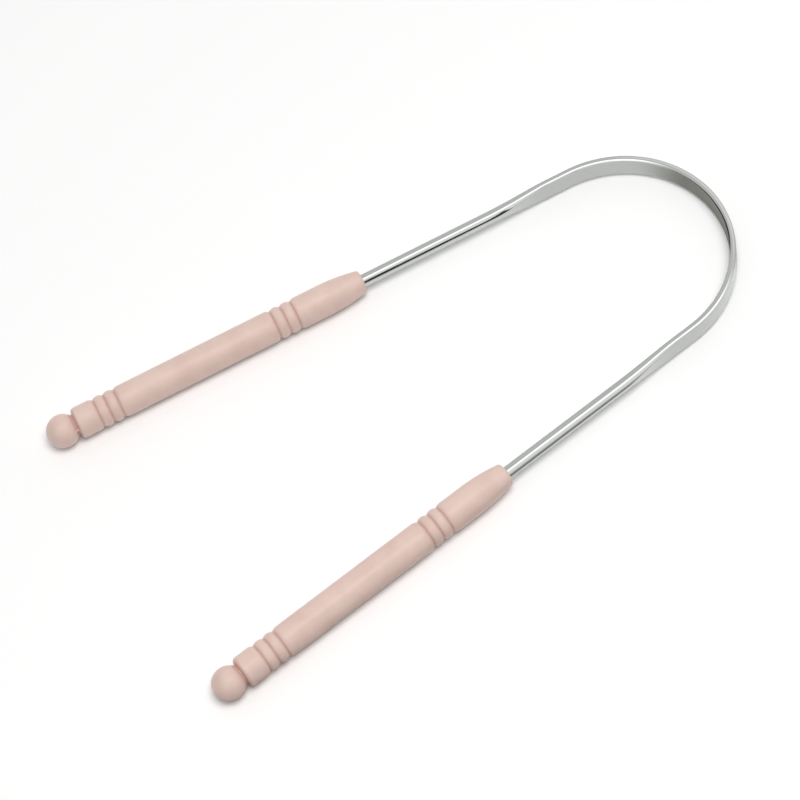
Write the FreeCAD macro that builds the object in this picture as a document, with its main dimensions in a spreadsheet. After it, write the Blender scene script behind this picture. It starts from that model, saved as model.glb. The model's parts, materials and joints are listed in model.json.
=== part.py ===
import FreeCAD
import Part

import math
import os

import Sketcher

# Tongue scraper: a bow of steel wire, pressed flat into a scraping band round its crown,
# with a moulded handle on each end. Millimetres and degrees.
# X runs across the bow, +Y from the ball ends towards the crown, +Z up.
# The origin is below the middle of the object, on the surface that it lies on.

# Driving sizes. Angles are in degrees and every other value is in millimetres.
size_values = {
    "crown_radius": 25.5,
    "band_height": 5.6,
    "band_thickness": 1.5,
    "leg_splay": 5.5,
    "flex_gap": 0.25,
    "flat_run": 5.0,
    "press_taper": 17.5,
    "wire_diameter": 3.0,
    "bare_leg": 53.5,
    "insert_depth": 40.0,
    "anchor_length": 6.0,
    "anchor_width": 3.9,
    "anchor_thickness": 2.1,
    "insert_clearance": 0.02,
    "barrel_diameter": 7.5,
    "ball_diameter": 7.8,
    "neck_diameter": 5.0,
    "neck_width": 0.35,
    "collar_round": 0.9,
    "collar_length": 5.55,
    "groove_depth": 0.5,
    "groove_pitch": 2.6,
    "grip_length": 39.8,
    "front_length": 17.35,
    "nose_length": 10.0,
    "mouth_lip": 1.3,
    "mouth_round": 0.8,
}

# Sizes and places that follow from the driving ones.
# A handle's places count along its axis from the tip of its ball end.
place_formulas = {
    "axis_height": "max(sizes.ball_diameter; sizes.barrel_diameter) / 2",
    "band_centres": "sizes.band_height - sizes.band_thickness",
    "band_edge": "sizes.band_thickness / 2",
    "band_sweep": "180 - 2 * sizes.leg_splay - sizes.flex_gap / sizes.crown_radius * 180 / pi",
    "leg_start": "sizes.flex_gap / 2",
    "flat_length": "sizes.flat_run - places.leg_start",
    "round_start": "sizes.flat_run + sizes.press_taper",
    "anchor_start": "sizes.bare_leg + sizes.insert_depth - sizes.anchor_length",
    "round_length": "places.anchor_start - places.round_start",
    "anchor_centres": "sizes.anchor_width - sizes.anchor_thickness",
    "anchor_edge": "sizes.anchor_thickness / 2",
    "barrel_radius": "sizes.barrel_diameter / 2",
    "ball_radius": "sizes.ball_diameter / 2",
    "neck_radius": "sizes.neck_diameter / 2",
    "neck_start": "places.ball_radius + sqrt(places.ball_radius ^ 2 - places.neck_radius ^ 2)",
    "collar_start": "places.neck_start + sizes.neck_width",
    "shoulder_radius": "places.barrel_radius - sizes.collar_round",
    "collar_crest": "places.collar_start + sizes.collar_round",
    "groove_radius": "places.barrel_radius - sizes.groove_depth",
    "ring_half": "sizes.groove_pitch / 2",
    "ring_round": "(places.ring_half ^ 2 + sizes.groove_depth ^ 2) / (2 * sizes.groove_depth)",
    "rear_groove": "places.collar_start + sizes.collar_length",
    "rear_ring_start": "places.rear_groove - places.ring_half",
    "rear_groove_middle": "places.rear_groove + sizes.groove_pitch",
    "rear_groove_last": "places.rear_groove_middle + sizes.groove_pitch",
    "grip_start": "places.rear_groove_last + places.ring_half",
    "front_groove": "places.rear_groove_last + sizes.grip_length",
    "grip_end": "places.front_groove - places.ring_half",
    "front_groove_middle": "places.front_groove + sizes.groove_pitch",
    "front_groove_last": "places.front_groove_middle + sizes.groove_pitch",
    "front_ring_end": "places.front_groove_last + places.ring_half",
    "handle_length": "places.front_groove_last + sizes.front_length",
    "nose_start": "places.handle_length - sizes.nose_length",
    "socket_radius": "sizes.wire_diameter / 2 + sizes.insert_clearance",
    "lip_start": "places.handle_length - sizes.mouth_round",
    "lip_radius": "places.socket_radius + sizes.mouth_lip",
    "mouth_radius": "places.lip_radius - sizes.mouth_round",
    "nose_run": "sizes.nose_length - sizes.mouth_round",
    "nose_drop": "places.barrel_radius - places.lip_radius",
    "nose_round": "(places.nose_run ^ 2 + places.nose_drop ^ 2) / (2 * places.nose_drop)",
    "socket_end": "places.handle_length - (sizes.insert_depth - sizes.anchor_length)",
    "slot_depth": "sizes.anchor_length + sizes.insert_clearance",
    "slot_edge": "places.anchor_edge + sizes.insert_clearance",
    "arm_length": "sizes.bare_leg + places.handle_length",
    "hinge_x": "sizes.crown_radius * cos(sizes.leg_splay)",
    "hinge_rise": "sizes.crown_radius * sin(sizes.leg_splay)",
    "crown_front": "sizes.crown_radius + places.band_edge",
    "ball_reach": "(places.arm_length - places.ball_radius) * cos(sizes.leg_splay) + places.ball_radius",
    "crown_y": "(places.ball_reach - places.hinge_rise - places.crown_front) / 2",
    "hinge_y": "places.crown_y + places.hinge_rise",
    "tip_x": "places.hinge_x + places.arm_length * sin(sizes.leg_splay)",
    "tip_y": "places.hinge_y - places.arm_length * cos(sizes.leg_splay)",
}

# The arms mirror each other: each has its side of the X axis.
arm_sides = {"left": -1, "right": 1}

doc = FreeCAD.newDocument("tongue_scraper")


def fill_sheet(name, cells):
    sheet = doc.addObject("Spreadsheet::Sheet", name)
    for row, (alias, text) in enumerate(cells.items(), start=1):
        sheet.set(f"A{row}", alias)
        sheet.setAlias(f"B{row}", alias)
        sheet.set(f"B{row}", text)
    doc.recompute()


fill_sheet("sizes", {alias: str(value) for alias, value in size_values.items()})
fill_sheet("places", {alias: f"={formula}" for alias, formula in place_formulas.items()})


def value_of(cell):
    sheet_name, alias = cell.split(".")
    return float(doc.getObject(sheet_name).get(alias))


def new_body(label):
    body = doc.addObject("PartDesign::Body", label)
    body.Label = label
    return body


def origin_feature(body, role):
    return next(feature for feature in body.Origin.OriginFeatures if feature.Role == role)


def new_sketch(body, name, plane_role):
    sketch = body.newObject("Sketcher::SketchObject", name)
    sketch.AttachmentSupport = [(origin_feature(body, plane_role), "")]
    sketch.MapMode = "FlatFace"
    return sketch


def bind(sketch, constraint, cell):
    index = sketch.addConstraint(constraint)
    sketch.setExpression(f"Constraints[{index}]", cell)


def place_corner(sketch, edge, end, across, along):
    # A corner of a turned outline: its distance from the axis and its place along it.
    if across:
        bind(sketch, Sketcher.Constraint("DistanceX", -1, 1, edge, end, value_of(across)), across)
    else:
        sketch.addConstraint(Sketcher.Constraint("PointOnObject", edge, end, -2))
    if along:
        bind(sketch, Sketcher.Constraint("DistanceY", -1, 1, edge, end, value_of(along)), along)
    else:
        sketch.addConstraint(Sketcher.Constraint("PointOnObject", edge, end, -1))


def outward_arc(start, end, radius):
    # The arc that bulges away from the axis between two corners.
    chord = end - start
    middle = (start + end) / 2
    inward = FreeCAD.Vector(-chord.y, chord.x, 0).normalize()
    centre = middle + inward * math.sqrt(radius ** 2 - (chord.Length / 2) ** 2)
    first = math.atan2(start.y - centre.y, start.x - centre.x)
    last = math.atan2(end.y - centre.y, end.x - centre.x)
    return Part.ArcOfCircle(Part.Circle(centre, FreeCAD.Vector(0, 0, 1), radius), first, last)


def turned_outline(sketch, corners):
    # A closed outline beside the axis. Each corner names its two places,
    # and the radius of the arc that leaves it or none for a straight edge.
    points = []
    for across, along, _ in corners:
        x = value_of(across) if across else 0
        y = value_of(along) if along else 0
        points.append(FreeCAD.Vector(x, y, 0))
    edges = []
    for index, (_, _, radius) in enumerate(corners):
        start = points[index]
        end = points[(index + 1) % len(points)]
        if radius:
            edges.append(sketch.addGeometry(outward_arc(start, end, value_of(radius))))
        else:
            edges.append(sketch.addGeometry(Part.LineSegment(start, end)))
    for index, edge in enumerate(edges):
        following = edges[(index + 1) % len(edges)]
        sketch.addConstraint(Sketcher.Constraint("Coincident", edge, 2, following, 1))
    for edge, (across, along, radius) in zip(edges, corners):
        place_corner(sketch, edge, 1, across, along)
        if radius:
            bind(sketch, Sketcher.Constraint("Radius", edge, value_of(radius)), radius)


def flat_oval(sketch, centres, edge_radius):
    # A pressed wire's section: two flat faces and two round edges, upright about the sketch origin.
    radius = value_of(edge_radius)
    half = value_of(centres) / 2
    up = FreeCAD.Vector(0, 0, 1)
    top_middle = FreeCAD.Vector(0, half, 0)
    bottom_middle = FreeCAD.Vector(0, -half, 0)
    side = FreeCAD.Vector(radius, 0, 0)
    top_round = Part.Circle(top_middle, up, radius)
    bottom_round = Part.Circle(bottom_middle, up, radius)
    top = sketch.addGeometry(Part.ArcOfCircle(top_round, 0, math.pi))
    left = sketch.addGeometry(Part.LineSegment(top_middle - side, bottom_middle - side))
    bottom = sketch.addGeometry(Part.ArcOfCircle(bottom_round, math.pi, 2 * math.pi))
    right = sketch.addGeometry(Part.LineSegment(bottom_middle + side, top_middle + side))
    for edge, following in ((top, left), (left, bottom), (bottom, right), (right, top)):
        sketch.addConstraint(Sketcher.Constraint("Tangent", edge, 2, following, 1))
    sketch.addConstraint(Sketcher.Constraint("Symmetric", top, 3, bottom, 3, -1, 1))
    sketch.addConstraint(Sketcher.Constraint("PointOnObject", top, 3, -2))
    sketch.addConstraint(Sketcher.Constraint("Equal", top, bottom))
    bind(sketch, Sketcher.Constraint("Radius", top, radius), edge_radius)
    bind(sketch, Sketcher.Constraint("DistanceY", bottom, 3, top, 3, 2 * half), centres)


def round_section(sketch, diameter):
    radius = value_of(diameter) / 2
    circle = sketch.addGeometry(Part.Circle(FreeCAD.Vector(), FreeCAD.Vector(0, 0, 1), radius))
    sketch.addConstraint(Sketcher.Constraint("Coincident", circle, 3, -1, 1))
    bind(sketch, Sketcher.Constraint("Diameter", circle, 2 * radius), diameter)


def section_along_leg(body, name, station):
    # A section square to the leg, at a distance from the flex point towards the handle.
    sketch = new_sketch(body, name, "XZ_Plane")
    sketch.setExpression("AttachmentOffset.Base.z", station)
    return sketch


def pad_along_leg(body, name, sketch, length):
    pad = body.newObject("PartDesign::Pad", name)
    pad.Profile = sketch
    pad.setExpression("Length", length)
    return pad


def turn_and_place(body, side, x, y):
    splay = FreeCAD.Rotation(FreeCAD.Vector(0, 0, 1), side * value_of("sizes.leg_splay"))
    body.Placement = FreeCAD.Placement(FreeCAD.Vector(), splay)
    body.setExpression("Placement.Rotation.Angle", f"{side} * sizes.leg_splay")
    body.setExpression("Placement.Base.x", f"{side} * {x}")
    body.setExpression("Placement.Base.y", y)
    body.setExpression("Placement.Base.z", "places.axis_height")


def make_scraping_band():
    # The crown: the pressed section swept round between the two flex points.
    body = new_body("scraping_band")
    section = new_sketch(body, "band_section", "YZ_Plane")
    section.setExpression("AttachmentOffset.Base.x", "sizes.crown_radius")
    flat_oval(section, "places.band_centres", "places.band_edge")
    crown = body.newObject("PartDesign::Revolution", "crown_sweep")
    crown.Profile = section
    crown.ReferenceAxis = (origin_feature(body, "Z_Axis"), [""])
    crown.Midplane = True
    crown.setExpression("Angle", "places.band_sweep")
    body.setExpression("Placement.Base.y", "places.crown_y")
    body.setExpression("Placement.Base.z", "places.axis_height")
    return body


def make_wire_leg(label, side):
    # One straight leg: a flat run, the taper from flat to round, the bare wire,
    # and its end inside the handle, pressed oval so that it can't turn or pull out.
    body = new_body(label)
    flat = section_along_leg(body, f"{label}_flat_section", "places.leg_start")
    flat_oval(flat, "places.band_centres", "places.band_edge")
    pad_along_leg(body, f"{label}_flat", flat, "places.flat_length")
    taper_flat = section_along_leg(body, f"{label}_taper_flat_section", "sizes.flat_run")
    flat_oval(taper_flat, "places.band_centres", "places.band_edge")
    taper_round = section_along_leg(body, f"{label}_taper_round_section", "places.round_start")
    round_section(taper_round, "sizes.wire_diameter")
    taper = body.newObject("PartDesign::AdditiveLoft", f"{label}_taper")
    taper.Profile = taper_flat
    taper.Sections = [taper_round]
    wire = section_along_leg(body, f"{label}_wire_section", "places.round_start")
    round_section(wire, "sizes.wire_diameter")
    pad_along_leg(body, f"{label}_wire", wire, "places.round_length")
    anchor = section_along_leg(body, f"{label}_anchor_section", "places.anchor_start")
    flat_oval(anchor, "places.anchor_centres", "places.anchor_edge")
    pad_along_leg(body, f"{label}_anchor", anchor, "sizes.anchor_length")
    turn_and_place(body, side, "places.hinge_x", "places.hinge_y")
    return body


def make_handle(label, side):
    # One moulded handle: ball end, neck, collar, two rings, grip, two rings and a rounded nose.
    body = new_body(label)
    outline = new_sketch(body, f"{label}_outline", "XY_Plane")
    turned_outline(outline, [
        (None, None, "places.ball_radius"),
        ("places.neck_radius", "places.neck_start", None),
        ("places.neck_radius", "places.collar_start", None),
        ("places.shoulder_radius", "places.collar_start", "sizes.collar_round"),
        ("places.barrel_radius", "places.collar_crest", None),
        ("places.barrel_radius", "places.rear_ring_start", "places.ring_round"),
        ("places.groove_radius", "places.rear_groove", "places.ring_round"),
        ("places.groove_radius", "places.rear_groove_middle", "places.ring_round"),
        ("places.groove_radius", "places.rear_groove_last", "places.ring_round"),
        ("places.barrel_radius", "places.grip_start", None),
        ("places.barrel_radius", "places.grip_end", "places.ring_round"),
        ("places.groove_radius", "places.front_groove", "places.ring_round"),
        ("places.groove_radius", "places.front_groove_middle", "places.ring_round"),
        ("places.groove_radius", "places.front_groove_last", "places.ring_round"),
        ("places.barrel_radius", "places.front_ring_end", None),
        ("places.barrel_radius", "places.nose_start", "places.nose_round"),
        ("places.lip_radius", "places.lip_start", "sizes.mouth_round"),
        ("places.mouth_radius", "places.handle_length", None),
        (None, "places.handle_length", None),
    ])
    turned = body.newObject("PartDesign::Revolution", f"{label}_turned")
    turned.Profile = outline
    turned.ReferenceAxis = (outline, ["V_Axis"])
    doc.recompute()
    whole = turned.Shape.Volume

    bore = new_sketch(body, f"{label}_socket_outline", "XY_Plane")
    turned_outline(bore, [
        (None, "places.socket_end", None),
        ("places.socket_radius", "places.socket_end", None),
        ("places.socket_radius", "places.handle_length", None),
        (None, "places.handle_length", None),
    ])
    socket = body.newObject("PartDesign::Groove", f"{label}_socket")
    socket.Profile = bore
    socket.ReferenceAxis = (bore, ["V_Axis"])
    doc.recompute()
    bored = socket.Shape.Volume

    slot_section = new_sketch(body, f"{label}_slot_section", "XZ_Plane")
    slot_section.setExpression("AttachmentOffset.Base.z", "-places.socket_end")
    flat_oval(slot_section, "places.anchor_centres", "places.slot_edge")
    slot = body.newObject("PartDesign::Pocket", f"{label}_anchor_slot")
    slot.Profile = slot_section
    slot.Reversed = True
    slot.setExpression("Length", "places.slot_depth")
    doc.recompute()
    if not whole > bored > slot.Shape.Volume:
        raise RuntimeError(f"{label}: the socket or its slot cut nothing")
    turn_and_place(body, side, "places.tip_x", "places.tip_y")
    return body


bodies = [make_scraping_band()]
for arm, arm_side in arm_sides.items():
    bodies.append(make_wire_leg(f"{arm}_wire_leg", arm_side))
    bodies.append(make_handle(f"{arm}_handle", arm_side))
doc.recompute()

for item in doc.Objects:
    if "Invalid" in item.State or "Error" in item.State:
        raise RuntimeError(f"{item.Label} did not build: {item.State}")
for body in bodies:
    if body.Shape.isNull() or not body.Shape.isValid() or len(body.Shape.Solids) != 1:
        raise RuntimeError(f"{body.Label} is not one sound solid")

os.makedirs("parts", exist_ok=True)
for body in bodies:
    body.Shape.exportStep(f"parts/{body.Label}.step")
    box = body.Shape.BoundBox
    print(body.Label, "volume", round(body.Shape.Volume, 2), "box",
          [round(edge, 3) for edge in (box.XMin, box.YMin, box.ZMin, box.XMax, box.YMax, box.ZMax)])
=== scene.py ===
import json
import math

import bmesh
import bpy
from mathutils import Matrix, Quaternion, Vector


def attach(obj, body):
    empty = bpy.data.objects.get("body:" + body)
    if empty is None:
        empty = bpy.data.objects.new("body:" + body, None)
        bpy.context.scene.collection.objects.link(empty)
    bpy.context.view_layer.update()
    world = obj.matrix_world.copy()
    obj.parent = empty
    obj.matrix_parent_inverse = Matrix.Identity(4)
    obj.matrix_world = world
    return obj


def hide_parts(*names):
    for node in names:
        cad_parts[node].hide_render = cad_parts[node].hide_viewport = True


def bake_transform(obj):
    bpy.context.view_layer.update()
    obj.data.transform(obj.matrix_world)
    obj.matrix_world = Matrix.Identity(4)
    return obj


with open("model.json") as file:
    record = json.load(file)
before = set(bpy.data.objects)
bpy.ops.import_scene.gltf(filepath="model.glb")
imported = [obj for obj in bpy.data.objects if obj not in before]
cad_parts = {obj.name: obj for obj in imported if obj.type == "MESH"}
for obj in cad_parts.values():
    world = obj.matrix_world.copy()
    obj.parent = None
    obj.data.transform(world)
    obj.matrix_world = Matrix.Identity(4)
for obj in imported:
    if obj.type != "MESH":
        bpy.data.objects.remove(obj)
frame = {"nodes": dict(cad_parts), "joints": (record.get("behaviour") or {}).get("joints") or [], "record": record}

# Tongue scraper: a bow of steel wire pressed flat round its crown, with a moulded handle on each end.
# Metres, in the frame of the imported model: +Y runs to the crown, +Z is up.

scene = bpy.context.scene
scene.view_settings.view_transform = "Standard"
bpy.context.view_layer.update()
upward = Vector((0, 0, 1))
weldGap = 1e-7                                     # points closer than this are one
print("frame loaded:", ", ".join(sorted(frame["nodes"])))


def mix(first, last, share):
    return first + (last - first) * share


def ease(share):
    share = min(1, max(0, share))
    return share * share * (3 - 2 * share)


def readArm(side, sign):
    joint = next(item for item in frame["joints"] if item["name"] == f"{side}_arm_flex")
    grip = next(item for item in frame["record"]["mounts"] if item["name"] == f"{side}_grip")
    hinge = Vector(joint["pos_m"])
    along = Vector(grip["axis"])                   # from the crown towards the ball end
    outward = along.cross(upward) * -sign
    radius = abs(hinge.x / along.y)
    return {
        "side": side,
        "sign": sign,
        "hinge": hinge,
        "along": along,
        "outward": outward,
        "splay": math.asin(abs(along.x)),
        "crownRadius": radius,
        "crownCentre": hinge - outward * radius,
        "gripMiddle": Vector(grip["pos_m"]),
    }


arms = [readArm("left", -1), readArm("right", 1)]


def meshPiece(name, bm, material):
    mesh = bpy.data.meshes.new(name)
    bm.to_mesh(mesh)
    bm.free()
    mesh.materials.append(material)
    piece = bpy.data.objects.new(name, mesh)
    scene.collection.objects.link(piece)
    return piece


def newMaterial(name):
    material = bpy.data.materials.new(name)
    material.use_nodes = True
    tree = material.node_tree
    tree.nodes.clear()
    output = tree.nodes.new("ShaderNodeOutputMaterial")
    shader = tree.nodes.new("ShaderNodeBsdfPrincipled")
    tree.links.new(shader.outputs["BSDF"], output.inputs["Surface"])
    return material, tree, shader


def addAttribute(tree, name):
    node = tree.nodes.new("ShaderNodeAttribute")
    node.attribute_name = name
    return node


def addNoise(tree, vector, scale, detail, roughness=0.5):
    noise = tree.nodes.new("ShaderNodeTexNoise")
    noise.inputs["Scale"].default_value = scale
    noise.inputs["Detail"].default_value = detail
    noise.inputs["Roughness"].default_value = roughness
    tree.links.new(vector, noise.inputs["Vector"])
    return noise.outputs["Fac"]


def addRange(tree, value, low, high, newLow, newHigh, smooth=False):
    node = tree.nodes.new("ShaderNodeMapRange")
    node.interpolation_type = "SMOOTHSTEP" if smooth else "LINEAR"
    node.inputs["From Min"].default_value = low
    node.inputs["From Max"].default_value = high
    node.inputs["To Min"].default_value = newLow
    node.inputs["To Max"].default_value = newHigh
    tree.links.new(value, node.inputs["Value"])
    return node.outputs["Result"]


def addMath(tree, operation, first, second):
    node = tree.nodes.new("ShaderNodeMath")
    node.operation = operation
    for socket, value in zip(node.inputs, (first, second)):
        if isinstance(value, (int, float)):
            socket.default_value = value
        else:
            tree.links.new(value, socket)
    return node.outputs["Value"]


def addDimming(tree, level, share, left):
    # Where share is 1, only this much of the level is left.
    return addMath(tree, "MULTIPLY", level, addRange(tree, share, 0, 1, 1, left))


def addColourMix(tree, share, first, second):
    node = tree.nodes.new("ShaderNodeMix")
    node.data_type = "RGBA"
    tree.links.new(share, node.inputs["Factor"])
    for socket, colour in ((node.inputs[6], first), (node.inputs[7], second)):
        if isinstance(colour, tuple):
            socket.default_value = (*colour, 1)
        else:
            tree.links.new(colour, socket)
    return node.outputs[2]


def addBump(tree, height, strength, distance, shader):
    bump = tree.nodes.new("ShaderNodeBump")
    bump.inputs["Strength"].default_value = strength
    bump.inputs["Distance"].default_value = distance
    tree.links.new(height, bump.inputs["Height"])
    tree.links.new(bump.outputs["Normal"], shader.inputs["Normal"])


# Steel of the bow: drawn lines run along the wire, and the pressed faces are a little duller.
steel = {
    "pale": (0.62, 0.638, 0.618),
    "dull": (0.545, 0.562, 0.543),
    "lineScale": (9000, 9000, 70),                 # fine across the wire, long along it
    "lineDetail": 4,
    "lineGrit": 0.6,
    "lineSpread": (0.3, 0.7),
    "lineStrength": 0.5,
    "lineDepth": 0.000004,
    "wireRoughness": (0.03, 0.07),
    "pressed": (0.475, 0.492, 0.475),              # on the pressed faces
    "pressedRoughness": 0.07,                      # added there
    "smudgeScale": 260,
    "smudgeDetail": 3,
    "smudgeSpread": (0.45, 0.75),
    "smudgeRoughness": 0.05,
}


def makeSteel():
    material, tree, shader = newMaterial("polished_wire")
    drawn = addAttribute(tree, "drawn")
    stretch = tree.nodes.new("ShaderNodeMapping")
    stretch.inputs["Scale"].default_value = steel["lineScale"]
    tree.links.new(drawn.outputs["Vector"], stretch.inputs["Vector"])
    lines = addNoise(tree, stretch.outputs["Vector"], 1, steel["lineDetail"], steel["lineGrit"])
    pressed = addAttribute(tree, "pressed").outputs["Fac"]
    place = tree.nodes.new("ShaderNodeTexCoord").outputs["Object"]
    smudge = addNoise(tree, place, steel["smudgeScale"], steel["smudgeDetail"])
    tint = addColourMix(tree, addRange(tree, lines, *steel["lineSpread"], 0, 1), steel["dull"], steel["pale"])
    tint = addColourMix(tree, pressed, tint, steel["pressed"])
    tree.links.new(tint, shader.inputs["Base Color"])
    rough = addRange(tree, lines, *steel["lineSpread"], *steel["wireRoughness"])
    rough = addMath(tree, "ADD", rough, addMath(tree, "MULTIPLY", pressed, steel["pressedRoughness"]))
    smeared = addRange(tree, smudge, *steel["smudgeSpread"], 0, steel["smudgeRoughness"])
    tree.links.new(addMath(tree, "ADD", rough, smeared), shader.inputs["Roughness"])
    addBump(tree, lines, steel["lineStrength"], steel["lineDepth"], shader)
    shader.inputs["Metallic"].default_value = 1
    return material


# Plastic of the handles: satin dusty pink, faintly mottled, with painted shade darkening the grooves and the neck.
plastic = {
    "pale": (0.735, 0.553, 0.485),
    "warm": (0.695, 0.51, 0.445),
    # painted shade, mixed in where the grooves and the neck lie
    "paintedShade": (0.60, 0.375, 0.32),
    "mottleScale": 210,
    "mottleDetail": 3,
    "mottleSpread": (0.35, 0.65),
    "grainScale": 2600,
    "grainDetail": 2,
    "grainStrength": 0.35,
    "grainDepth": 0.00002,
    "roughness": (0.28, 0.33),
    "roughnessSpread": (0.3, 0.7),
    "gloss": 0.7,
    "bleed": 0.12,
    "bleedColours": (1, 0.45, 0.35),               # red light runs deepest
    "bleedDepth": 0.0008,
}


def makePlastic():
    material, tree, shader = newMaterial("satin_pink")
    place = tree.nodes.new("ShaderNodeTexCoord").outputs["Object"]
    mottle = addNoise(tree, place, plastic["mottleScale"], plastic["mottleDetail"])
    grain = addNoise(tree, place, plastic["grainScale"], plastic["grainDetail"])
    hollowShade = addAttribute(tree, "hollowShade").outputs["Fac"]
    mottled = addRange(tree, mottle, *plastic["mottleSpread"], 0, 1)
    tint = addColourMix(tree, mottled, plastic["warm"], plastic["pale"])
    # painted shade: the colour darkens in the grooves and the neck
    tint = addColourMix(tree, hollowShade, tint, plastic["paintedShade"])
    tree.links.new(tint, shader.inputs["Base Color"])
    rough = addRange(tree, mottle, *plastic["roughnessSpread"], *plastic["roughness"])
    tree.links.new(rough, shader.inputs["Roughness"])
    addBump(tree, grain, plastic["grainStrength"], plastic["grainDepth"], shader)
    shader.inputs["Specular IOR Level"].default_value = plastic["gloss"]
    shader.inputs["Subsurface Weight"].default_value = plastic["bleed"]
    shader.inputs["Subsurface Radius"].default_value = plastic["bleedColours"]
    shader.inputs["Subsurface Scale"].default_value = plastic["bleedDepth"]
    return material


steelMaterial = makeSteel()
plasticMaterial = makePlastic()
print("materials: polished wire, satin pink")


# The bow, in two halves that meet at the middle of the crown.
# Its section is a flat band with rounded edges there, and a round wire along the legs.
bow = {
    "bandHeight": 0.0056,
    "bandThickness": 0.0015,
    "bandEdge": 0.0012,                            # round of the band's free edges
    "wire": 0.0030,
    "flatRun": 0.0050,                             # flat stretch past the flex point
    "pressTaper": 0.0175,                          # from the flat back to the round wire
    "heightLag": 1.7,                              # the wire is pressed thin before it spreads
    "flattest": 0.9994,                            # leaves a sliver of face on the round wire
    "bareLeg": 0.0535,                             # flex point to handle
    "anchorStart": 0.0875,
    "anchorEnd": 0.0935,
    "anchorEase": 0.0010,
    "anchorWidth": 0.0039,
    "anchorThickness": 0.0021,
    "bendZone": 0.0060,                            # each side of the flex point
    "crownSteps": 128,
    "edgeSteps": 24,
    "faceShares": (0.03, 0.09, 0.28, 0.5, 0.72, 0.91, 0.97),
    "legSteps": (16, 48, 30, 34, 4, 4),            # flat, taper, wire, in the handle, anchor's ease, anchor
}


def sectionOutline(height, thickness, edge):
    # Across and up: top edge, inner face, bottom edge, outer face.
    reach = math.asin(min(bow["flattest"], thickness / 2 / edge))
    middle = height / 2 - edge
    corner = middle + edge * math.cos(reach)
    face = edge * math.sin(reach)
    points = []
    for turn in (1, -1):
        for step in range(bow["edgeSteps"] + 1):
            angle = reach * (1 - 2 * step / bow["edgeSteps"])
            points.append((turn * edge * math.sin(angle), turn * (middle + edge * math.cos(angle))))
        for share in bow["faceShares"]:
            points.append((-turn * face, turn * corner * (1 - 2 * share)))
    return points


def pressAt(station):
    # 1 on the flat band, 0 on the round wire
    return ease((bow["flatRun"] + bow["pressTaper"] - station) / bow["pressTaper"])


def bowOutline(station):
    if station > bow["anchorStart"]:
        press = ease((station - bow["anchorStart"]) / bow["anchorEase"])
        height = mix(bow["wire"], bow["anchorWidth"], press)
        thickness = mix(bow["wire"], bow["anchorThickness"], press)
        return sectionOutline(height, thickness, thickness / 2)
    press = pressAt(station)
    spread = press ** bow["heightLag"]
    height = mix(bow["wire"], bow["bandHeight"], spread)
    thickness = mix(bow["wire"], bow["bandThickness"], press)
    return sectionOutline(height, thickness, mix(bow["wire"] / 2, bow["bandEdge"], spread))


def legStations():
    ends = (0, bow["flatRun"], bow["flatRun"] + bow["pressTaper"], bow["bareLeg"], bow["anchorStart"],
            bow["anchorStart"] + bow["anchorEase"], bow["anchorEnd"])
    stations = []
    for first, last, steps in zip(ends, ends[1:], bow["legSteps"]):
        stations += [mix(first, last, (step + 1) / steps) for step in range(steps)]
    return stations


def makeHalfBow(arm):
    bm = bmesh.new()
    spot = bm.verts.layers.int.new("spot")
    drawn = bm.verts.layers.float_vector.new("drawn")
    pressed = bm.verts.layers.float.new("pressed")

    def shapeRing(ring, centre, outward, station):
        outline = bowOutline(station)
        for vert in ring:
            across, up = outline[vert[spot]]
            vert.co = centre + outward * across + upward * up
            vert[drawn] = (across, up, station)
            onFace = vert[spot] % (len(outline) // 2) > bow["edgeSteps"]
            vert[pressed] = pressAt(station) if onFace else 0

    radius = arm["crownRadius"]
    sweep = math.pi / 2 - arm["splay"]
    ring = bmesh.ops.create_circle(bm, segments=len(bowOutline(0)), radius=radius)["verts"]
    for index, vert in enumerate(ring):
        vert[spot] = index
    shapeRing(ring, arm["crownCentre"] + Vector((0, radius, 0)), Vector((0, 1, 0)), 0)
    seam = list(bm.edges)
    swept = bmesh.ops.spin(bm, geom=ring + seam, cent=arm["crownCentre"], axis=-upward * arm["sign"],
                           angle=sweep, steps=bow["crownSteps"])
    for vert in bm.verts:                          # lines on the crown run on from those on the leg
        offset = vert.co - arm["crownCentre"]
        angle = math.atan2(abs(offset.x), offset.y)
        vert[drawn] = (vert[drawn].x, vert[drawn].y, (angle - sweep) * radius)

    edges = [item for item in swept["geom_last"] if isinstance(item, bmesh.types.BMEdge)]
    for station in legStations():
        grown = bmesh.ops.extrude_edge_only(bm, edges=edges)["geom"]
        ring = {item for item in grown if isinstance(item, bmesh.types.BMVert)}
        edges = [item for item in grown
                 if isinstance(item, bmesh.types.BMEdge) and ring.issuperset(item.verts)]
        shapeRing(ring, arm["hinge"] + arm["along"] * station, arm["outward"], station)

    for rim in (seam, edges):
        bmesh.ops.contextual_create(bm, geom=rim)
        for edge in rim:
            edge.smooth = False
    bmesh.ops.remove_doubles(bm, verts=bm.verts, dist=weldGap)
    bmesh.ops.recalc_face_normals(bm, faces=bm.faces)
    for face in bm.faces:
        face.smooth = True

    side = arm["side"]
    piece = meshPiece(f"{side}_half_bow", bm, steelMaterial)
    piece.data.attributes.remove(piece.data.attributes["spot"])
    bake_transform(piece)
    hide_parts("scraping_band", f"{side}_wire_leg")
    print(f"{piece.name}: {len(piece.data.vertices)} points")


for arm in arms:
    makeHalfBow(arm)


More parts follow.
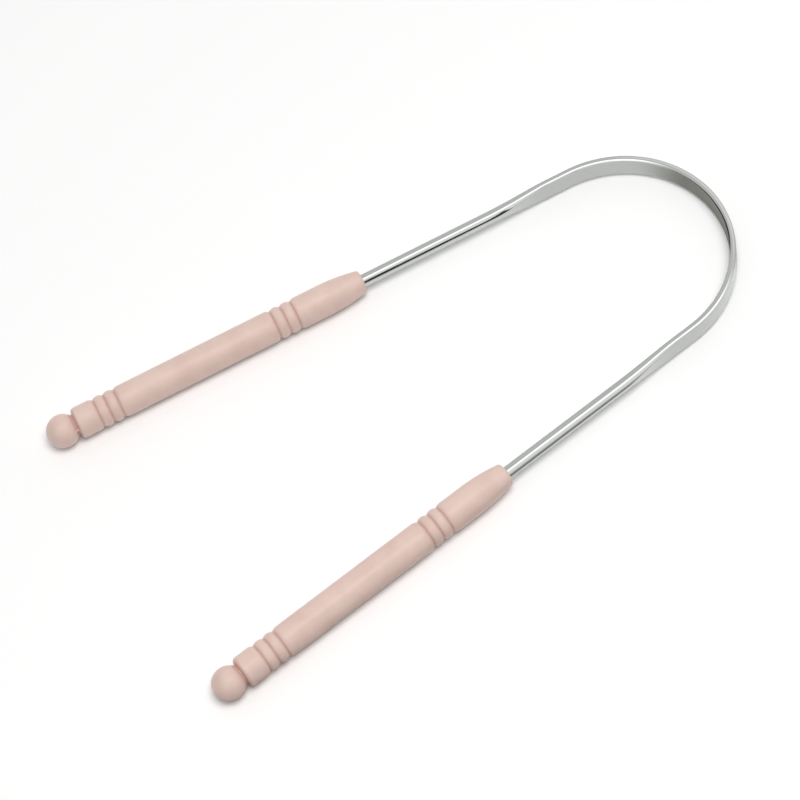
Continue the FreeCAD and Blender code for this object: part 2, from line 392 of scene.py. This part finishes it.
# One handle, drawn as half an outline beside its axis and turned. Lengths run from the tip of the ball end.
handle = {
    "barrel": 0.00375,
    "ball": 0.0039,
    "ballSteps": 30,
    "neck": 0.0025,
    "neckWidth": 0.00035,
    "neckRound": 0.00012,
    "collarRound": 0.0009,
    "collarSteps": 12,
    "collarLength": 0.00555,
    "grooveCount": 3,                              # at each end of the grip
    "groovePitch": 0.0026,
    "grooveDepth": 0.0005,
    "grooveFlank": 0.0013,                         # run of the round on each side of a groove
    "grooveSteps": 8,
    "grooveRound": 0.00010,
    "hollowSegments": 4,                           # in the rounds of the grooves and the neck
    "leastRun": 1e-6,                              # shorter straight runs are left out
    "gripLength": 0.0398,
    "frontLength": 0.01735,
    "noseLength": 0.0100,
    "noseSteps": 20,
    "lip": 0.00282,
    "lipRound": 0.0008,
    "lipSteps": 10,
    "socket": 0.00152,
    "socketDepth": 0.0340,
    "anchorRoom": 0.00200,
    "anchorDepth": 0.00602,
    "turnSteps": 96,
    "partingWidth": 0.00005,                       # half width of the mould's parting line
    "partingRise": 0.000012,
    "partingInset": 0.00001,                       # keeps the line off the walls of the socket
    "partingTurn": 26.5,                           # degrees that it lies above the floor's plane
    "hollowReach": 0.00055,                        # painted shade beside a groove
    # painted shade in the neck reaches this far
    "neckHollowReach": 0.0011,
    "flashSide": "left",                           # a bit of moulding flash left in one neck
    "flashRise": 0.0006,
    "flashReach": 0.0007,
    "flashTurn": 7,
}


def grooveRows():
    ball, neck, pitch = handle["ball"], handle["neck"], handle["groovePitch"]
    neckStart = ball + math.sqrt(ball ** 2 - neck ** 2)
    rear = neckStart + handle["neckWidth"] + handle["collarLength"]
    front = rear + (handle["grooveCount"] - 1) * pitch + handle["gripLength"]
    rows = [start + index * pitch for start in (rear, front) for index in range(handle["grooveCount"])]
    return neckStart, rows


def drawOutline(bm):
    # Straight runs are extruded and rounds are spun, from the ball's tip to the socket's floor.
    neckStart, grooves = grooveRows()
    collarStart = neckStart + handle["neckWidth"]
    handleEnd = grooves[-1] + handle["frontLength"]
    noseStart = handleEnd - handle["noseLength"]
    barrel = handle["barrel"]
    tip = bmesh.ops.create_vert(bm, co=(0, 0, 0))["vert"][0]
    pen = [tip]

    def runTo(across, along):
        grown = bmesh.ops.extrude_vert_indiv(bm, verts=[pen[-1]])["verts"][0]
        grown.co = (across, along, 0)
        pen.append(grown)
        return grown

    def roundBy(across, along, angle, steps):
        swung = bmesh.ops.spin(bm, geom=[pen[-1]], cent=(across, along, 0), axis=upward,
                               angle=angle, steps=steps)
        last = next(item for item in swung["geom_last"] if isinstance(item, bmesh.types.BMVert))
        pen.append(last)
        return last

    hollows = []
    ballTurn = math.pi / 2 + math.acos(handle["neck"] / handle["ball"])
    hollows.append((roundBy(0, handle["ball"], ballTurn, handle["ballSteps"]), handle["neckRound"]))
    hollows.append((runTo(handle["neck"], collarStart), handle["neckRound"]))
    collarRound = handle["collarRound"]
    runTo(barrel - collarRound, collarStart)
    roundBy(barrel - collarRound, collarStart + collarRound, math.pi / 2, handle["collarSteps"])
    flank, depth = handle["grooveFlank"], handle["grooveDepth"]
    ringRound = (flank ** 2 + depth ** 2) / (2 * depth)
    ringTurn = math.asin(flank / ringRound)
    for groove in grooves:
        if groove - flank - pen[-1].co.y > handle["leastRun"]:
            runTo(barrel, groove - flank)
        foot = roundBy(barrel - ringRound, groove - flank, ringTurn, handle["grooveSteps"])
        hollows.append((foot, handle["grooveRound"]))
        roundBy(barrel - ringRound, groove + flank, ringTurn, handle["grooveSteps"])
    runTo(barrel, noseStart)
    drop = barrel - handle["lip"]
    lipRound = handle["lipRound"]
    run = handle["noseLength"] - lipRound
    noseRound = (run ** 2 + drop ** 2) / (2 * drop)
    roundBy(barrel - noseRound, noseStart, math.asin(run / noseRound), handle["noseSteps"])
    roundBy(handle["lip"] - lipRound, handleEnd - lipRound, math.pi / 2, handle["lipSteps"])
    socketEnd = handleEnd - handle["socketDepth"]
    runTo(handle["socket"], handleEnd)
    runTo(handle["socket"], socketEnd)
    runTo(handle["anchorRoom"], socketEnd)
    runTo(handle["anchorRoom"], socketEnd - handle["anchorDepth"])
    runTo(0, socketEnd - handle["anchorDepth"])
    for corner, size in hollows:
        bmesh.ops.bevel(bm, geom=[corner], offset=size, affect="VERTICES",
                        segments=handle["hollowSegments"], profile=0.5, material=-1)


def paintHollowShade(bm):
    # Painted shade: each point gets how near it lies to a groove or the neck, to darken the colour there.
    hollowShade = bm.verts.layers.float.new("hollowShade")
    neckStart, grooves = grooveRows()
    hollows = [(neckStart + handle["neckWidth"] / 2, handle["neckHollowReach"])]
    hollows += [(groove, handle["hollowReach"]) for groove in grooves]
    for vert in bm.verts:
        vert[hollowShade] = max(ease(1 - abs(vert.co.y - place) / reach) for place, reach in hollows)


def raiseParting(bm):
    # A hair-thin ridge where the mould's halves met.
    for height in (-handle["partingWidth"], handle["partingWidth"]):
        bmesh.ops.bisect_plane(bm, geom=list(bm.verts) + list(bm.edges) + list(bm.faces),
                               plane_co=(0, 0, height), plane_no=upward)
    inside = handle["anchorRoom"] + handle["partingInset"]
    for vert in bm.verts:
        if abs(vert.co.z) < weldGap and abs(vert.co.x) > inside:
            vert.co.x += math.copysign(handle["partingRise"], vert.co.x)


def raiseFlash(bm):
    neckStart, grooves = grooveRows()
    for vert in bm.verts:
        beside = abs(vert.co.y - neckStart - handle["neckWidth"] / 2) / handle["flashReach"]
        turned = abs(math.degrees(math.atan2(vert.co.z, vert.co.x))) / handle["flashTurn"]
        rise = handle["flashRise"] * ease(1 - beside) * ease(1 - turned)
        vert.co += Vector((vert.co.x, 0, vert.co.z)).normalized() * rise


def makeHandle(arm):
    side = arm["side"]
    bm = bmesh.new()
    drawOutline(bm)
    paintHollowShade(bm)
    bmesh.ops.spin(bm, geom=list(bm.verts) + list(bm.edges), cent=(0, 0, 0), axis=(0, 1, 0),
                   angle=2 * math.pi, steps=handle["turnSteps"], use_merge=True)
    bmesh.ops.remove_doubles(bm, verts=bm.verts, dist=weldGap)
    raiseParting(bm)
    if side == handle["flashSide"]:
        raiseFlash(bm)
    bmesh.ops.recalc_face_normals(bm, faces=bm.faces)
    for face in bm.faces:
        face.smooth = True

    neckStart, grooves = grooveRows()
    count = handle["grooveCount"]
    middle = (grooves[count - 1] + grooves[count]) / 2
    tip = arm["gripMiddle"] + arm["along"] * middle
    turn = Matrix.Rotation(arm["sign"] * arm["splay"], 4, "Z")
    roll = Matrix.Rotation(math.radians(-handle["partingTurn"]), 4, "Y")
    bmesh.ops.transform(bm, matrix=Matrix.Translation(tip) @ turn @ roll, verts=bm.verts)
    piece = meshPiece(f"{side}_handle_moulding", bm, plasticMaterial)
    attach(piece, f"{side}_arm")
    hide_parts(f"{side}_handle")
    print(f"{piece.name}: {len(piece.data.vertices)} points")


for arm in arms:
    makeHandle(arm)


# The studio: a pale floor, one softbox overhead and a tent of soft light.
# Some of the floor and the tent is darker or brighter in reflections only, for the polished steel.
studio = {
    "floorColour": (0.93, 0.925, 0.92),
    "floorCloud": 0.995,                           # share of that colour in the floor's faint clouds
    "floorCloudScale": 3,
    "floorCloudDetail": 2,
    "floorRoughness": 0.3,
    "floorGloss": 0.5,
    "floorLift": 0.06,                             # glow of the floor, for the eye and for reflections
    "floorSize": 4.0,
    "floorEdge": (0.032, 0.042),                   # the near side reflects as dark from here on
    "floorDark": 0.1,
    "hollowPlace": (0.000, 0.072, 0),              # the floor inside the crown reflects as shaded
    "hollowReach": (0.009, 0.019),
    "hollowTint": (0.37, 0.355, 0.33),
    "softboxSize": 0.42,
    "softboxPlace": (0.19, 0.06, 0.88),
    "softboxPower": 5.4,
    "tent": (1, 1, 1.005),
    "tentLevel": 0.53,
    "tentShine": 0.22,                             # added all round, for polished metal
    "tentFront": 0.36,                             # and on the near side
    "frontTurn": (-80, 80),
    "frontRise": (24, 72),
    "tentBack": 0.3,                               # and beyond the crown
    "backTurn": (105, 150),
    "backRise": (25, 58),
    "tentTop": 1.2,                                # and in a strip overhead
    "topAcross": (-8.4, 17.6),
    "topAlong": (-22, 36),
    "nadir": -90,
    "dark": 0.93,                                  # share of the light that an opening takes away
    "doorRise": (-2, 0.5),                         # narrow opening on the near side: its top rises
    "doorFall": (3, 7),                            # and falls again
    "doorTop": (3, 47),
    "hatchTurn": (-160, -80),                      # opening on the side of the ball ends
    "hatchTop": 48,
    "shadeTurn": (-55, 60),                        # side that lends the plastic and the floor little light
    "shadeTop": 58,
    "shade": 0.76,
    "soft": 4,
    "backdrop": (0.97, 0.97, 0.97),
}


def makeFloor():
    bm = bmesh.new()
    bmesh.ops.create_grid(bm, x_segments=1, y_segments=1, size=studio["floorSize"])
    material, tree, shader = newMaterial("pale_floor")
    place = tree.nodes.new("ShaderNodeTexCoord").outputs["Object"]
    cloud = addNoise(tree, place, studio["floorCloudScale"], studio["floorCloudDetail"])
    darker = tuple(value * studio["floorCloud"] for value in studio["floorColour"])
    tint = addColourMix(tree, cloud, darker, studio["floorColour"])
    shader.inputs["Roughness"].default_value = studio["floorRoughness"]
    shader.inputs["Specular IOR Level"].default_value = studio["floorGloss"]
    path = tree.nodes.new("ShaderNodeLightPath")
    glossy = path.outputs["Is Glossy Ray"]
    seen = addMath(tree, "MAXIMUM", path.outputs["Is Camera Ray"], glossy)
    seen = addMath(tree, "MAXIMUM", seen, path.outputs["Is Transmission Ray"])
    parts = tree.nodes.new("ShaderNodeSeparateXYZ")
    tree.links.new(place, parts.inputs["Vector"])
    beyond = addRange(tree, parts.outputs["X"], *studio["floorEdge"], 0, 1, smooth=True)
    beyond = addMath(tree, "MULTIPLY", beyond, glossy)
    dim = tuple(value * studio["floorDark"] for value in studio["floorColour"])
    away = tree.nodes.new("ShaderNodeVectorMath")
    away.operation = "DISTANCE"
    away.inputs[1].default_value = studio["hollowPlace"]
    tree.links.new(place, away.inputs[0])
    hollowShade = addRange(tree, away.outputs["Value"], *studio["hollowReach"], 1, 0, smooth=True)
    hollowShade = addMath(tree, "MULTIPLY", hollowShade, glossy)
    tint = addColourMix(tree, hollowShade, tint, studio["hollowTint"])
    tree.links.new(addColourMix(tree, beyond, tint, dim), shader.inputs["Base Color"])
    for darkened in (beyond, hollowShade):
        seen = addDimming(tree, seen, darkened, studio["floorDark"])
    shader.inputs["Emission Color"].default_value = (1, 1, 1, 1)
    tree.links.new(addMath(tree, "MULTIPLY", seen, studio["floorLift"]), shader.inputs["Emission Strength"])
    meshPiece("floor", bm, material)


def makeSoftbox():
    lamp = bpy.data.lights.new("softbox", "AREA")
    lamp.shape = "SQUARE"
    lamp.size = studio["softboxSize"]
    lamp.energy = studio["softboxPower"]
    holder = bpy.data.objects.new("softbox", lamp)
    holder.location = studio["softboxPlace"]
    holder.rotation_mode = "QUATERNION"
    holder.rotation_quaternion = (-holder.location).to_track_quat("-Z", "Y")
    holder.visible_glossy = False                  # the tent's strip overhead is what shines in the metal
    scene.collection.objects.link(holder)


def addWindow(tree, value, low, high):
    low, high, soft = (math.radians(angle) for angle in (low, high, studio["soft"]))
    opened = addRange(tree, value, low - soft, low + soft, 0, 1, smooth=True)
    closed = addRange(tree, value, high - soft, high + soft, 1, 0, smooth=True)
    return addMath(tree, "MULTIPLY", opened, closed)


def addPanel(tree, turn, turnEnds, rise, riseEnds):
    return addMath(tree, "MULTIPLY", addWindow(tree, turn, *turnEnds), addWindow(tree, rise, *riseEnds))


def addShine(tree, parts, turn, rise):
    # Brighter panels of the tent.
    front = addPanel(tree, turn, studio["frontTurn"], rise, studio["frontRise"])
    shine = addRange(tree, front, 0, 1, studio["tentShine"], studio["tentShine"] + studio["tentFront"])
    back = addPanel(tree, turn, studio["backTurn"], rise, studio["backRise"])
    shine = addMath(tree, "ADD", shine, addMath(tree, "MULTIPLY", back, studio["tentBack"]))
    across = addMath(tree, "ARCTAN2", parts.outputs["X"], parts.outputs["Z"])
    along = addMath(tree, "ARCTAN2", parts.outputs["Y"], parts.outputs["Z"])
    strip = addPanel(tree, across, studio["topAcross"], along, studio["topAlong"])
    return addMath(tree, "ADD", shine, addMath(tree, "MULTIPLY", strip, studio["tentTop"]))


def addDoor(tree, turn, rise):
    sill, lintel = (math.radians(angle) for angle in studio["doorTop"])
    rising = addRange(tree, turn, *map(math.radians, studio["doorRise"]), sill, lintel)
    falling = addRange(tree, turn, *map(math.radians, studio["doorFall"]), lintel, sill)
    top = addMath(tree, "MINIMUM", rising, falling)
    return addWindow(tree, addMath(tree, "SUBTRACT", rise, top), studio["nadir"], 0)


def makeTent():
    world = bpy.data.worlds.new("tent")
    scene.world = world
    world.use_nodes = True
    tree = world.node_tree
    tent = tree.nodes["Background"]
    output = tree.nodes["World Output"]
    place = tree.nodes.new("ShaderNodeTexCoord")
    parts = tree.nodes.new("ShaderNodeSeparateXYZ")
    tree.links.new(place.outputs["Generated"], parts.inputs["Vector"])
    rise = addMath(tree, "ARCSINE", parts.outputs["Z"], 0)
    turn = addMath(tree, "ARCTAN2", parts.outputs["Y"], parts.outputs["X"])
    path = tree.nodes.new("ShaderNodeLightPath")
    glossy = path.outputs["Is Glossy Ray"]

    shine = addMath(tree, "MULTIPLY", addShine(tree, parts, turn, rise), glossy)
    level = addMath(tree, "ADD", shine, studio["tentLevel"])
    hatch = addPanel(tree, turn, studio["hatchTurn"], rise, (studio["nadir"], studio["hatchTop"]))
    for opening in (addDoor(tree, turn, rise), hatch):
        reflected = addMath(tree, "MULTIPLY", opening, glossy)
        level = addDimming(tree, level, reflected, 1 - studio["dark"])
    shade = addPanel(tree, turn, studio["shadeTurn"], rise, (studio["nadir"], studio["shadeTop"]))
    shade = addMath(tree, "MULTIPLY", shade, addMath(tree, "SUBTRACT", 1, glossy))
    level = addDimming(tree, level, shade, 1 - studio["shade"])
    tent.inputs["Color"].default_value = (*studio["tent"], 1)
    tree.links.new(level, tent.inputs["Strength"])

    backdrop = tree.nodes.new("ShaderNodeBackground")
    backdrop.inputs["Color"].default_value = (*studio["backdrop"], 1)
    either = tree.nodes.new("ShaderNodeMixShader")
    tree.links.new(path.outputs["Is Camera Ray"], either.inputs["Fac"])
    tree.links.new(tent.outputs["Background"], either.inputs[1])
    tree.links.new(backdrop.outputs["Background"], either.inputs[2])
    tree.links.new(either.outputs["Shader"], output.inputs["Surface"])


makeFloor()
makeSoftbox()
makeTent()
print("studio: floor, softbox and tent")


# The photograph's viewpoint, in degrees and metres, with the lens and sensor in millimetres.
view = {
    "azimuth": 72.128,
    "elevation": 60.601,
    "roll": -16.019,
    "target": (0.000968, -0.007947, 0.0039),
    "distance": 0.67145,
    "lens": 134.82,
    "sensor": 36,
}


def makeCamera():
    data = bpy.data.cameras.new("viewpoint")
    data.lens = view["lens"]
    data.sensor_width = view["sensor"]
    camera = bpy.data.objects.new("viewpoint", data)
    azimuth, elevation = math.radians(view["azimuth"]), math.radians(view["elevation"])
    back = Vector((math.sin(azimuth) * math.cos(elevation), -math.cos(azimuth) * math.cos(elevation),
                   math.sin(elevation)))
    camera.location = Vector(view["target"]) + back * view["distance"]
    camera.rotation_mode = "QUATERNION"
    roll = Quaternion((0, 0, 1), math.radians(view["roll"]))
    camera.rotation_quaternion = (-back).to_track_quat("-Z", "Y") @ roll
    scene.collection.objects.link(camera)
    scene.camera = camera


makeCamera()
print("camera set")
